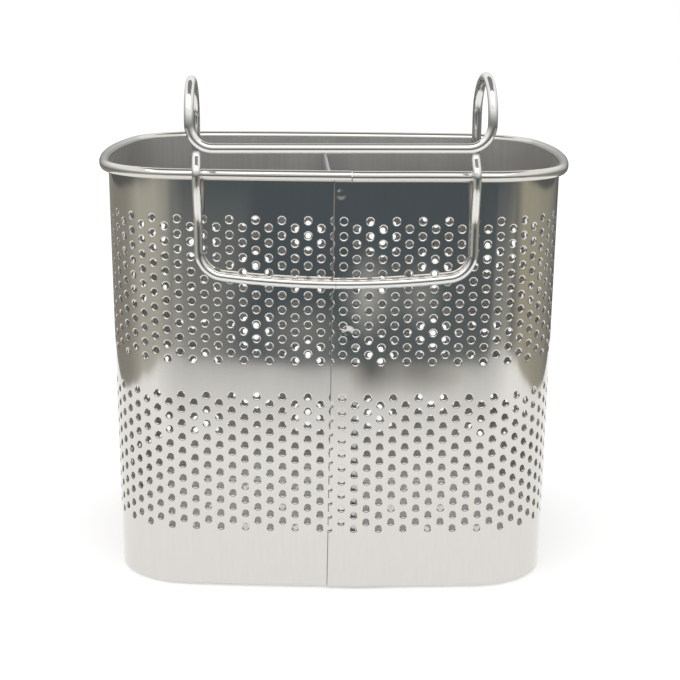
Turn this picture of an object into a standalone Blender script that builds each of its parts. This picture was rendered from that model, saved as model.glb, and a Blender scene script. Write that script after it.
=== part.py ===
"""Utensil drying basket that hangs on a rail.

A perforated sheet is rolled into a rounded oblong body, lapped at the middle of its hook side and
beaded outward at the top. A flanged pan closes the bottom, a plate divides the body into two
compartments, and one closed loop of wire makes a stirrup on the wall and two hooks over the rail.

Metres, +Z up. The origin is at the middle of the plan, on the surface that the basket stands on.
The hook side faces -Y.
"""

import math

import bpy
import bmesh
from mathutils import Vector

# Body, measured over the outside of the sheet
body_width = 0.1598
body_depth = 0.1166
body_height = 0.1470
long_side_radius = 0.7675
end_side_radius = 0.1719
corner_radius = 0.0275
sheet_thickness = 0.0005

# Clearance between pieces that touch on the real basket
seat_gap = 0.0003

# Rolled rim
rim_bead_radius = 0.0018
rim_roll_angle = math.radians(280)
rim_roll_steps = 5

# Lap seam: where the outer end shows, how far the ends overlap, and the run back to the plain wall
seam_offset = 0.0004
lap_width = 0.0056
joggle_start = 0.0090
joggle_run = 0.0220

# Punched pattern. The sheet has 3 mm holes at a 5 mm pitch, ten to a column in each band.
# The solid draws the same staggered pattern two and a half times as coarse, in the real bands.
sheet_hole_diameter = 0.003
sheet_hole_pitch = 0.005
coarse_pattern_share = 2.5
hole_sides = 6
plain_top = 0.0149
plain_middle = 0.0087
plain_bottom = 0.0205

# Bottom pan: the plate hangs a little below the wall's cut edge, and the flange stands up inside
wall_low = 0.0012
pan_flange_height = 0.0080
pan_edge_radius = 0.0016
drain_hole_diameter = 0.0080
drain_hole_spacing = 0.0230
drain_row_spacing = 0.0230
drain_edge_margin = 0.0090

# Divider
divider_top = 0.1385
divider_front_x = 0.0006
divider_rear_x = -0.0042
divider_flange = 0.0080
divider_hem_height = 0.0045
divider_hem_thickness = 0.0013

# Hook wire
wire_diameter = 0.0030
frame_shift = 0.0012
stirrup_half_width = 0.0453
stirrup_corner_radius = 0.0085
stirrup_low = 0.1099
stirrup_sag = 0.0018
jog_start = 0.1310
jog_end = 0.1420
jog_bend_radius = 0.0060
bead_slope = math.radians(45)
rear_branch_inset = 0.0004
rear_branch_outset = 0.0003
rear_branch_stand_off = 0.0004
rear_bend_radius = 0.0040
hook_reach = 0.0245
hook_top = 0.1780
hook_top_lean = 0.0009
front_splay_right = 0.0015
front_splay_left = 0.0007
front_corner_radius = 0.0072
front_bar_shift = 0.0008
front_bar_drop = 0.0005
front_bar_lean = 0.0004
wire_turn_step = math.radians(20)
stirrup_spans = 5

# One overrun for every cut
cut_overrun = 0.0020

# Sizes that follow
wire_radius = wire_diameter / 2
lap_step = sheet_thickness + seat_gap
half_width = body_width / 2
half_depth = body_depth / 2
rear_right_half_width = stirrup_half_width - rear_branch_inset
rear_left_half_width = stirrup_half_width + rear_branch_outset
front_right_half_width = stirrup_half_width + front_splay_right
front_left_half_width = stirrup_half_width + front_splay_left
bead_height = body_height - rim_bead_radius
rim_roll_inner = rim_bead_radius - sheet_thickness
rim_roll_middle = rim_bead_radius - sheet_thickness / 2
roll_length = rim_roll_middle * rim_roll_angle
hole_diameter = sheet_hole_diameter * coarse_pattern_share
hole_pitch = sheet_hole_pitch * coarse_pattern_share
column_spacing = hole_pitch * math.sin(math.radians(60))
band_height = (body_height - plain_top - plain_middle - plain_bottom) / 2
rows_in_band = int((band_height - hole_diameter - hole_pitch / 2) / hole_pitch) + 1
upper_band_top = body_height - plain_top
lower_band_top = plain_bottom + band_height


for old in list(bpy.data.objects):
    bpy.data.objects.remove(old, do_unlink=True)

basket = bpy.data.collections.new("utensil_drying_basket")
cutters = bpy.data.collections.new("cutters")
bpy.context.scene.collection.children.link(basket)
bpy.context.scene.collection.children.link(cutters)


def steel(name, colour, roughness):
    """A bare metal material."""
    material = bpy.data.materials.new(name)
    material.use_nodes = True
    shader = material.node_tree.nodes["Principled BSDF"]
    shader.inputs["Base Color"].default_value = (*colour, 1.0)
    shader.inputs["Metallic"].default_value = 1.0
    shader.inputs["Roughness"].default_value = roughness
    return material


def add_object(name, data, material, collection):
    """Put mesh or curve data in a collection as one object."""
    made = bpy.data.objects.new(name, data)
    collection.objects.link(made)
    if material is not None:
        data.materials.clear()
        data.materials.append(material)
    return made


def add_cutter(name, shape):
    """A hidden cutter from a bmesh."""
    mesh = bpy.data.meshes.new(name)
    shape.to_mesh(mesh)
    shape.free()
    made = add_object(name, mesh, None, cutters)
    made.hide_render = True
    made.display_type = "WIRE"
    return made


def evaluated_mesh(source):
    """The mesh that an object's modifiers give."""
    bpy.context.view_layer.update()
    graph = bpy.context.evaluated_depsgraph_get()
    return bpy.data.meshes.new_from_object(source.evaluated_get(graph))


def cut(target, cutter):
    """Take a cutter out of an object."""
    boolean = target.modifiers.new("Cut " + cutter.name, "BOOLEAN")
    boolean.operation = "DIFFERENCE"
    boolean.solver = "EXACT"
    boolean.object = cutter


def round_shading(mesh):
    """Smooth the shading across every shallow edge."""
    mesh.shade_smooth()
    mesh.set_sharp_from_angle(angle=math.radians(35))


# Plan of the body: each quarter is three tangent arcs, a long side, a corner and an end
def quarter_arcs():
    """Centre, radius, first and last heading of each arc from the front's middle to the right end."""
    side = Vector((0, long_side_radius - half_depth))
    end = Vector((half_width - end_side_radius, 0))
    to_side = long_side_radius - corner_radius
    to_end = end_side_radius - corner_radius
    line = end - side
    apart = line.length
    along = (apart ** 2 + to_side ** 2 - to_end ** 2) / (2 * apart)
    across = math.sqrt(to_side ** 2 - along ** 2)
    across_line = Vector((-line.y, line.x)) / apart
    corner = side + line * (along / apart) - across_line * across
    if corner.x < 0:
        corner = side + line * (along / apart) + across_line * across
    first = math.atan2(corner.x - side.x, side.y - corner.y)
    last = math.atan2(corner.x - end.x, end.y - corner.y)
    return [
        (side, long_side_radius, 0.0, first),
        (corner, corner_radius, first, last),
        (end, end_side_radius, last, math.pi / 2),
    ]


arcs = quarter_arcs()
side_length = arcs[0][1] * (arcs[0][3] - arcs[0][2])
corner_length = arcs[1][1] * (arcs[1][3] - arcs[1][2])
quarter_length = sum(radius * (last - first) for _, radius, first, last in arcs)
perimeter = 4 * quarter_length


def plan_at(distance):
    """Point and outward normal of the plan, a distance round from the middle of the front."""
    distance = distance % perimeter
    left = distance > 2 * quarter_length
    if left:
        distance = perimeter - distance
    rear = distance > quarter_length
    if rear:
        distance = 2 * quarter_length - distance
    for centre, radius, first, last in arcs:
        length = radius * (last - first)
        if distance <= length or last == arcs[-1][3]:
            heading = min(first + distance / radius, last)
            break
        distance -= length
    normal = Vector((math.sin(heading), -math.cos(heading)))
    point = centre + normal * radius
    if rear:
        point.y = -point.y
        normal.y = -normal.y
    if left:
        point.x = -point.x
        normal.x = -normal.x
    return point, normal


def wall_y(x):
    """Outer face of the hook side at x."""
    centre, radius = arcs[0][0], arcs[0][1]
    return centre.y - math.sqrt(radius ** 2 - x ** 2)


# Fold lines of the sheet: between the hole columns, and at the four corners on the columns too
sheet_length = perimeter + lap_width
rear_middle = 2 * quarter_length - seam_offset
column_reach = int((rear_middle - lap_width - hole_diameter / 2) / column_spacing)
hole_columns = [rear_middle + step * column_spacing for step in range(-column_reach, column_reach + 1)]


def in_corner(along):
    """True where the plan turns sharply."""
    from_middle = abs((along + seam_offset + quarter_length) % (2 * quarter_length) - quarter_length)
    past_side = from_middle - side_length
    return column_spacing / 4 < past_side < corner_length - column_spacing / 4


def fold_lines():
    """Places along the sheet where it turns."""
    lines = [0.0, sheet_length]
    for step in range(-2 * column_reach - 1, 2 * column_reach + 2):
        place = rear_middle + step * column_spacing / 2
        if step % 2 or in_corner(place):
            lines.append(place)
    return sorted(lines)


folds = fold_lines()


def outer_lap_offset(along):
    """How far the outer end of the sheet stands off the plan."""
    share = (along - joggle_start) / joggle_run
    return lap_step * (1 - min(max(share, 0), 1))


def section_at(height, depth):
    """Section of the sheet: offset from the outer face and z, for a place up the flat sheet."""
    if height <= bead_height:
        return -depth, height
    radius = rim_roll_inner + depth
    turned = (height - bead_height) / rim_roll_middle
    return rim_roll_inner - radius * math.cos(turned), bead_height + radius * math.sin(turned)


def on_fold(along, depth, height):
    """Place in space of a point that lies on a fold line."""
    point, normal = plan_at(along + seam_offset)
    offset, z = section_at(height, depth)
    place = point + normal * (offset + outer_lap_offset(along))
    return Vector((place.x, place.y, z))


def bent(flat):
    """Place in space of any point of the flat sheet, straight between its two fold lines."""
    along = min(max(flat.x, 0.0), sheet_length)
    index = max(sum(1 for line in folds if line <= along) - 1, 0)
    index = min(index, len(folds) - 2)
    start, end = folds[index], folds[index + 1]
    share = (along - start) / (end - start)
    return on_fold(start, flat.y, flat.z).lerp(on_fold(end, flat.y, flat.z), share)


def flat_blank():
    """The sheet before it is rolled: x along it, y through it and z up it."""
    heights = [wall_low, bead_height]
    heights += [bead_height + roll_length * (step + 1) / rim_roll_steps for step in range(rim_roll_steps)]
    shape = bmesh.new()
    line = [shape.verts.new((folds[0], 0, height)) for height in heights]
    edges = [shape.edges.new(pair) for pair in zip(line, line[1:])]
    for before, after in zip(folds, folds[1:]):
        grown = bmesh.ops.extrude_edge_only(shape, edges=edges)["geom"]
        verts = [item for item in grown if isinstance(item, bmesh.types.BMVert)]
        edges = [item for item in grown if isinstance(item, bmesh.types.BMEdge)]
        bmesh.ops.translate(shape, verts=verts, vec=(after - before, 0, 0))
    bmesh.ops.recalc_face_normals(shape, faces=shape.faces)
    mesh = bpy.data.meshes.new("blank")
    shape.to_mesh(mesh)
    shape.free()
    return add_object("blank", mesh, None, basket)


def punched_prism(shape, x, z, diameter):
    """One many-sided punch through the flat sheet."""
    made = bmesh.ops.create_cone(
        shape,
        cap_ends=True,
        segments=hole_sides,
        radius1=diameter / 2,
        radius2=diameter / 2,
        depth=2 * cut_overrun,
    )
    for vert in made["verts"]:
        vert.co = Vector((x + vert.co.y, vert.co.z, z + vert.co.x))


def punch_tool():
    """Punches for every hole of the wall."""
    shape = bmesh.new()
    for number, along in enumerate(hole_columns):
        stagger = hole_pitch / 2 if number % 2 else 0.0
        for band_top in (upper_band_top, lower_band_top):
            for row in range(rows_in_band):
                drop = hole_diameter / 2 + row * hole_pitch + stagger
                punched_prism(shape, along, band_top - drop, hole_diameter)
    bmesh.ops.recalc_face_normals(shape, faces=shape.faces)
    return add_cutter("wall_punches", shape)


def box_between(shape, low, high):
    """A box from corner to corner."""
    made = bmesh.ops.create_cube(shape, size=1)
    for vert in made["verts"]:
        for axis in range(3):
            vert.co[axis] = high[axis] if vert.co[axis] > 0 else low[axis]


def notch_tool():
    """Takes the rim off the outer end, where it laps over the inner one."""
    shape = bmesh.new()
    low = (-cut_overrun, -cut_overrun, bead_height - rim_bead_radius - seat_gap)
    high = (lap_width + seat_gap, cut_overrun, bead_height + roll_length + cut_overrun)
    box_between(shape, low, high)
    return add_cutter("lap_notch", shape)


def make_wall(material):
    """Punch the flat sheet, then roll, bead and lap it."""
    blank = flat_blank()
    thicken = blank.modifiers.new("Sheet thickness", "SOLIDIFY")
    thicken.thickness = sheet_thickness
    thicken.offset = 1.0 if blank.data.polygons[0].normal.y > 0 else -1.0
    punches = punch_tool()
    notch = notch_tool()
    cut(blank, punches)
    cut(blank, notch)
    mesh = evaluated_mesh(blank)
    for tool in (blank, punches, notch):
        bpy.data.objects.remove(tool, do_unlink=True)
    for vert in mesh.vertices:
        vert.co = bent(vert.co)
    mesh.name = "perforated_wall"
    round_shading(mesh)
    return add_object("perforated_wall", mesh, material, basket)


def plan_ring(inset):
    """Points of the plan, moved inward, on the wall's own fold lines."""
    ring = []
    for along in folds:
        if 0 < along < perimeter:
            point, normal = plan_at(along + seam_offset)
            ring.append(point - normal * inset)
    return ring


def make_pan(material):
    """Bottom pan: a plate with its edge turned up inside the wall."""
    shape = bmesh.new()
    ring = plan_ring(sheet_thickness + seat_gap)
    plate = shape.faces.new([shape.verts.new((point.x, point.y, 0)) for point in ring])
    rim_edges = list(plate.edges)
    grown = bmesh.ops.extrude_edge_only(shape, edges=rim_edges)["geom"]
    upper = [item for item in grown if isinstance(item, bmesh.types.BMVert)]
    bmesh.ops.translate(shape, verts=upper, vec=(0, 0, pan_flange_height))
    bmesh.ops.bevel(shape, geom=rim_edges, offset=pan_edge_radius, segments=1, affect="EDGES")
    bmesh.ops.recalc_face_normals(shape, faces=shape.faces)
    mesh = bpy.data.meshes.new("bottom_pan")
    shape.to_mesh(mesh)
    shape.free()
    pan = add_object("bottom_pan", mesh, material, basket)
    thicken = pan.modifiers.new("Sheet thickness", "SOLIDIFY")
    thicken.thickness = sheet_thickness
    thicken.offset = -1.0
    thicken.use_even_offset = True
    drains = bmesh.new()
    clear_depth = half_depth - drain_edge_margin
    clear_width = half_width - drain_edge_margin
    row_reach = int(clear_depth / drain_row_spacing)
    for row in range(-row_reach, row_reach + 1):
        y = row * drain_row_spacing
        first = drain_hole_spacing * (0.5 if row % 2 == 0 else 1.0)
        narrowing = corner_radius * abs(row) / (row_reach + 1)
        count = int((clear_width - narrowing - first) / drain_hole_spacing) + 1
        for side in (-1, 1):
            for number in range(count):
                made = bmesh.ops.create_cone(
                    drains,
                    cap_ends=True,
                    segments=hole_sides,
                    radius1=drain_hole_diameter / 2,
                    radius2=drain_hole_diameter / 2,
                    depth=2 * cut_overrun,
                )
                place = Vector((side * (first + number * drain_hole_spacing), y, 0))
                bmesh.ops.translate(drains, verts=made["verts"], vec=place)
    cut(pan, add_cutter("drain_punches", drains))
    mesh.shade_smooth()
    return pan


def flat_outline(name, points, thickness, collection):
    """A closed outline of straight lines, filled and given a thickness along z."""
    curve = bpy.data.curves.new(name, "CURVE")
    curve.dimensions = "2D"
    curve.fill_mode = "BOTH"
    curve.extrude = thickness / 2
    spline = curve.splines.new("POLY")
    spline.points.add(len(points) - 1)
    for point, place in zip(spline.points, points):
        point.co = (place[0], place[1], 0, 1)
    spline.use_cyclic_u = True
    return add_object(name, curve, None, collection)


def mesh_of_curve(source):
    """Turn a curve into a closed mesh object in the same place."""
    mesh = evaluated_mesh(source)
    shape = bmesh.new()
    shape.from_mesh(mesh)
    bmesh.ops.remove_doubles(shape, verts=shape.verts, dist=seat_gap / 30)
    bmesh.ops.recalc_face_normals(shape, faces=shape.faces)
    shape.to_mesh(mesh)
    shape.free()
    made = bpy.data.objects.new(source.name + "_solid", mesh)
    made.matrix_world = source.matrix_world.copy()
    source.users_collection[0].objects.link(made)
    bpy.data.objects.remove(source, do_unlink=True)
    return made


def make_divider(material):
    """Dividing plate: a Z in plan with a flange on each long wall, and a hemmed top edge."""
    low = sheet_thickness + seat_gap
    height = divider_top - low
    face = half_depth - sheet_thickness - seat_gap
    inside = face - sheet_thickness
    half = sheet_thickness / 2
    outline = [
        (divider_front_x - half, -face),
        (divider_front_x + divider_flange, -face),
        (divider_front_x + divider_flange, -inside),
        (divider_front_x + half, -inside),
        (divider_rear_x + half, face),
        (divider_rear_x - divider_flange, face),
        (divider_rear_x - divider_flange, inside),
        (divider_rear_x - half, inside),
    ]
    sheet = flat_outline("divider_sheet", outline, height, basket)
    sheet.location.z = low + height / 2
    sheet = mesh_of_curve(sheet)
    turn = math.atan2(divider_front_x - divider_rear_x, 2 * face)
    hem_half = divider_hem_thickness / 2
    hem_length = 2 * (inside - divider_hem_thickness)
    hem_base = divider_hem_height - hem_half
    profile = [(-hem_half, -hem_base), (hem_half, -hem_base), (hem_half, 0)]
    profile += [(hem_half * math.cos(math.radians(a)), hem_half * math.sin(math.radians(a))) for a in (45, 90, 135)]
    profile += [(-hem_half, 0)]
    hem = flat_outline("divider_hem", profile, hem_length, basket)
    hem.rotation_euler = (math.pi / 2, 0, turn)
    hem.location = ((divider_front_x + divider_rear_x) / 2, 0, divider_top)
    hem = mesh_of_curve(hem)
    join = sheet.modifiers.new("Hemmed edge", "BOOLEAN")
    join.operation = "UNION"
    join.solver = "EXACT"
    join.object = hem
    corners = bmesh.new()
    web_end = face - sheet_thickness - pan_edge_radius - seat_gap
    for side in (-1, 1):
        near, far = sorted((side * web_end, side * (half_depth + cut_overrun)))
        low_corner = (-2 * divider_flange, near, -cut_overrun)
        box_between(corners, low_corner, (2 * divider_flange, far, pan_flange_height + seat_gap))
    corner_notches = add_cutter("divider_corner_notches", corners)
    cut(sheet, corner_notches)
    mesh = evaluated_mesh(sheet)
    made = bpy.data.objects.new("divider", mesh)
    made.matrix_world = sheet.matrix_world.copy()
    basket.objects.link(made)
    mesh.materials.clear()
    mesh.materials.append(material)
    for tool in (sheet, hem, corner_notches):
        bpy.data.objects.remove(tool, do_unlink=True)
    return made


def filleted(corners, radii):
    """Points of a route through corners, each rounded to its own radius."""
    route = [corners[0]]
    for before, corner, after, radius in zip(corners, corners[1:], corners[2:], radii):
        back = (before - corner).normalized()
        ahead = (after - corner).normalized()
        opening = back.angle(ahead)
        turn = math.pi - opening
        run = radius * math.tan(turn / 2)
        centre = corner + (back + ahead).normalized() * (radius / math.sin(opening / 2))
        start = corner + back * run - centre
        end = corner + ahead * run - centre
        steps = max(int(math.ceil(turn / wire_turn_step)), 1)
        for step in range(steps + 1):
            share = step / steps
            spoke = start * math.sin((1 - share) * turn) + end * math.sin(share * turn)
            route.append(centre + spoke / math.sin(turn))
    route.append(corners[-1])
    return route


def wire_half(side):
    """Route of half the wire loop, from the middle of the stirrup's bar to the middle of the front bar."""
    bar_end = stirrup_half_width - stirrup_corner_radius
    bar = []
    for step in range(stirrup_spans):
        out = bar_end * step / stirrup_spans
        x = frame_shift + side * out
        stand_off = lap_step * (1 - (out / stirrup_half_width) ** 2)
        y = wall_y(x) - stand_off - seat_gap - wire_radius
        bar.append(Vector((x, y, stirrup_low + stirrup_sag * (out / bar_end) ** 2)))
    x = frame_shift + side * stirrup_half_width
    upright_y = wall_y(x) - seat_gap - wire_radius
    corner_z = stirrup_low + stirrup_sag * (stirrup_half_width / bar_end) ** 2
    bead_y = wall_y(x) - rim_roll_inner
    round_bead = rim_bead_radius + seat_gap + wire_radius
    outer_y = bead_y - round_bead
    x_rear = frame_shift + (rear_right_half_width if side > 0 else -rear_left_half_width)
    rear_y = wall_y(x_rear) - rear_branch_stand_off
    over_bead = bead_height + round_bead * math.tan(bead_slope / 2)
    back_at_wall = over_bead + (rear_y - outer_y) / math.tan(bead_slope)
    top = hook_top + side * hook_top_lean - wire_radius
    x_front = frame_shift + front_bar_shift
    x_front += front_right_half_width if side > 0 else -front_left_half_width
    front_y = wall_y(stirrup_half_width) - rear_branch_stand_off - hook_reach
    bar_z = hook_top - wire_radius - hook_reach / 2 - front_corner_radius - front_bar_drop
    corners = [
        bar[-1],
        Vector((x, upright_y, corner_z)),
        Vector((x, upright_y, jog_start)),
        Vector((x, outer_y, jog_end)),
        Vector((x, outer_y, over_bead)),
        Vector((x_rear, rear_y, back_at_wall)),
        Vector((x_rear, rear_y, top)),
        Vector((x_front, front_y, top)),
        Vector((x_front, front_y, bar_z + side * front_bar_lean)),
        Vector((frame_shift + front_bar_shift, front_y, bar_z)),
    ]
    arch_radius = (Vector((x_front, front_y)) - Vector((x_rear, rear_y))).length / 2
    radii = [
        stirrup_corner_radius,
        jog_bend_radius,
        jog_bend_radius,
        round_bead,
        rear_bend_radius,
        arch_radius,
        arch_radius,
        front_corner_radius,
    ]
    return bar[:-1] + filleted(corners, radii)


def make_wire(material):
    """The whole loop: a closed tube through both halves."""
    right = wire_half(1)
    left = wire_half(-1)
    route = right + list(reversed(left))[1:-1]
    clean = [route[0]]
    for point in route[1:]:
        if (point - clean[-1]).length > wire_radius / 4:
            clean.append(point)
    curve = bpy.data.curves.new("hook_wire", "CURVE")
    curve.dimensions = "3D"
    curve.bevel_depth = wire_radius
    curve.bevel_resolution = 2
    spline = curve.splines.new("POLY")
    spline.points.add(len(clean) - 1)
    for point, place in zip(spline.points, clean):
        point.co = (place.x, place.y, place.z, 1)
    spline.use_cyclic_u = True
    spline.use_smooth = True
    return add_object("hook_wire", curve, material, basket)


sheet_steel = steel("bright_sheet_steel", (0.74, 0.74, 0.72), 0.16)
pan_steel = steel("pan_steel", (0.70, 0.70, 0.69), 0.24)
divider_steel = steel("divider_steel", (0.68, 0.68, 0.67), 0.22)
wire_steel = steel("polished_wire_steel", (0.82, 0.82, 0.80), 0.08)

make_wall(sheet_steel)
make_pan(pan_steel)
make_divider(divider_steel)
make_wire(wire_steel)
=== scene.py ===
"""Utensil drying basket in polished stainless steel, on a plain pale floor."""

import math

import bmesh
import bpy
import numpy as np
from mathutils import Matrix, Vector


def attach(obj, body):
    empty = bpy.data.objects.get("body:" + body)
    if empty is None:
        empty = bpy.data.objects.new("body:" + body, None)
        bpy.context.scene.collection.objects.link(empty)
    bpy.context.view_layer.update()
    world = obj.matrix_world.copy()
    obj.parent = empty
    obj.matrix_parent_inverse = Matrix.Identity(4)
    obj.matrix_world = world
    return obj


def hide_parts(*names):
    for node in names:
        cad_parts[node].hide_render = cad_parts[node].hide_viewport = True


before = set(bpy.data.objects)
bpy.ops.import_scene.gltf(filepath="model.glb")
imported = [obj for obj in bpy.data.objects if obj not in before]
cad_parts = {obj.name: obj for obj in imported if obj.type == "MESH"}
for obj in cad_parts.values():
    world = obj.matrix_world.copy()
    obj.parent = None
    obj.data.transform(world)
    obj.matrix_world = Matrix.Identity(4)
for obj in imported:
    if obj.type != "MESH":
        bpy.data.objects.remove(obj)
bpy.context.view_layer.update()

MM = 0.001


# Basket wall. One strip of punched stainless sheet, half a millimetre thick, with two bands of
# staggered holes whose rims are drawn in. It is rolled to a rounded oblong, its ends lap at the
# middle of the hook side, where they are spot welded, and its top edge is rolled into a bead.

half_width = 79.9 * MM
half_depth = 58.3 * MM
long_side_radius = 767.5 * MM
end_side_radius = 171.9 * MM
corner_radius = 27.5 * MM
sheet_thickness = 0.5 * MM
seat_gap = 0.3 * MM
lap_step = sheet_thickness + seat_gap
lap_width = 5.6 * MM
seam_offset = 0.4 * MM
joggle_start = 7.0 * MM
joggle_run = 22.0 * MM
wall_low = 1.2 * MM
bead_radius = 1.8 * MM
bead_height = 147.0 * MM - bead_radius
bead_bore = bead_radius - sheet_thickness
bead_middle = bead_radius - sheet_thickness / 2
roll_angle = math.radians(285)
roll_steps = 12
collar_steps = 3
belt_steps = 2
foot_steps = 5

hole_radius = 1.2 * MM
round_rim = ((0.38 * MM, 0.0), (0.16 * MM, 0.06 * MM), (0.0, 0.20 * MM))
plain_rim = ((0.36 * MM, 0.0), (0.0, 0.18 * MM))
round_sides = 10
plain_sides = 8
hole_pitch = 5.0 * MM
column_spacing = hole_pitch * math.sin(math.radians(60))
first_column = 3.265 * MM
first_row_height = 130.4 * MM
rows_in_band = 10
band_drop = 60.0 * MM
seam_top = 0.3 * MM
seam_bottom = -1.4 * MM
seam_slant = (seam_top - seam_bottom) / bead_height
shear_run = 0.35 * MM
weld_distance = 0.002 * MM
cut_distance = 0.0005 * MM
cut_margin = 0.001 * MM
face_margin = 0.01 * MM


def quarter_arcs():
    """Centre, radius, first and last heading of each arc from the front's middle to the right end."""
    side = Vector((0, long_side_radius - half_depth))
    end = Vector((half_width - end_side_radius, 0))
    to_side = long_side_radius - corner_radius
    to_end = end_side_radius - corner_radius
    line = end - side
    apart = line.length
    along = (apart ** 2 + to_side ** 2 - to_end ** 2) / (2 * apart)
    across = math.sqrt(to_side ** 2 - along ** 2)
    across_line = Vector((-line.y, line.x)) / apart
    corner = side + line * (along / apart) + across_line * across
    if corner.x < 0:
        corner = side + line * (along / apart) - across_line * across
    first = math.atan2(corner.x - side.x, side.y - corner.y)
    last = math.atan2(corner.x - end.x, end.y - corner.y)
    return [
        (side, long_side_radius, 0.0, first),
        (corner, corner_radius, first, last),
        (end, end_side_radius, last, math.pi / 2),
    ]


arcs = quarter_arcs()
quarter_length = sum(radius * (last - first) for _, radius, first, last in arcs)
perimeter = 4 * quarter_length
sheet_length = perimeter + lap_width


def plan_at(distance):
    """Points and outward normals of the plan at distances round from the front's middle."""
    distance = np.asarray(distance, float) % perimeter
    left = distance > 2 * quarter_length
    distance = np.where(left, perimeter - distance, distance)
    rear = distance > quarter_length
    distance = np.where(rear, 2 * quarter_length - distance, distance)
    heading = np.zeros_like(distance)
    centre = np.zeros(distance.shape + (2,))
    radius = np.zeros_like(distance)
    start = 0.0
    for middle, bend, first, last in arcs:
        length = bend * (last - first)
        here = distance >= start - 1e-12
        heading = np.where(here, first + (distance - start) / bend, heading)
        radius = np.where(here, bend, radius)
        centre[here] = (middle.x, middle.y)
        start += length
    normal = np.stack([np.sin(heading), -np.cos(heading)], -1)
    point = centre + normal * radius[..., None]
    flip_y = np.where(rear, -1.0, 1.0)
    flip_x = np.where(left, -1.0, 1.0)
    flip = np.stack([flip_x, flip_y], -1)
    return point * flip, normal * flip


def tile_object(name, points, faces):
    """One tile of the flat sheet, about its own middle: x along it, y into it, z up it."""
    mesh = bpy.data.meshes.new(name)
    mesh.from_pydata(points, [], faces)
    made = bpy.data.objects.new(name, mesh)
    bpy.context.scene.collection.objects.link(made)
    return made


def ring(radius, depth, sides):
    """Points round a hole."""
    turns = [2 * math.pi * side / sides for side in range(sides)]
    return [(radius * math.cos(turn), depth, radius * math.sin(turn)) for turn in turns]


def edge_dot(place, x, z):
    """How far a cell's edge point lies in a direction."""
    length = math.hypot(*place)
    return (place[0] * x + place[1] * z) / length


def punched_tile(sides, rim):
    """A cell with one punched hole: a drawn-in rim outside, a square edge inside."""
    half_x = column_spacing / 2
    half_z = hole_pitch / 2
    edge = [(half_x, 0), (half_x, half_z), (-half_x, half_z)]
    edge += [(-x, -z) for x, z in edge]
    points = [(x, 0.0, z) for x, z in edge]
    for wider, depth in rim:
        points += ring(hole_radius + wider, depth, sides)
    points += ring(hole_radius, sheet_thickness, sides)
    points += [(x, sheet_thickness, z) for x, z in edge]
    mouth = len(edge)
    back = mouth + sides * len(rim)
    back_corner = back + sides
    nearest = []
    for side in range(sides):
        turn = 2 * math.pi * side / sides
        x, z = math.cos(turn), math.sin(turn)
        nearest.append(max(range(len(edge)), key=lambda item: edge_dot(edge[item], x, z)))
    faces = []
    for side in range(sides):
        after = (side + 1) % sides
        a, b = nearest[side], nearest[after]
        faces.append((a, mouth + after, mouth + side))
        faces.append((back_corner + a, back + side, back + after))
        if a != b:
            faces.append((a, b, mouth + after))
            faces.append((back_corner + a, back + after, back_corner + b))
        for first in range(mouth, back, sides):
            faces.append((first + side, first + after, first + sides + after, first + sides + side))
    return tile_object("punched_tile", points, faces)


def plain_tile(name, height, low_closed=False, high_closed=False):
    """A cell with no hole."""
    half_x = column_spacing / 2
    half_z = height / 2
    corners = ((-half_x, -half_z), (half_x, -half_z), (half_x, half_z), (-half_x, half_z))
    points = [(x, depth, z) for depth in (0.0, sheet_thickness) for x, z in corners]
    faces = [(0, 1, 2, 3), (7, 6, 5, 4)]
    if low_closed:
        faces.append((4, 5, 1, 0))
    if high_closed:
        faces.append((3, 2, 6, 7))
    return tile_object(name, points, faces)


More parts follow.
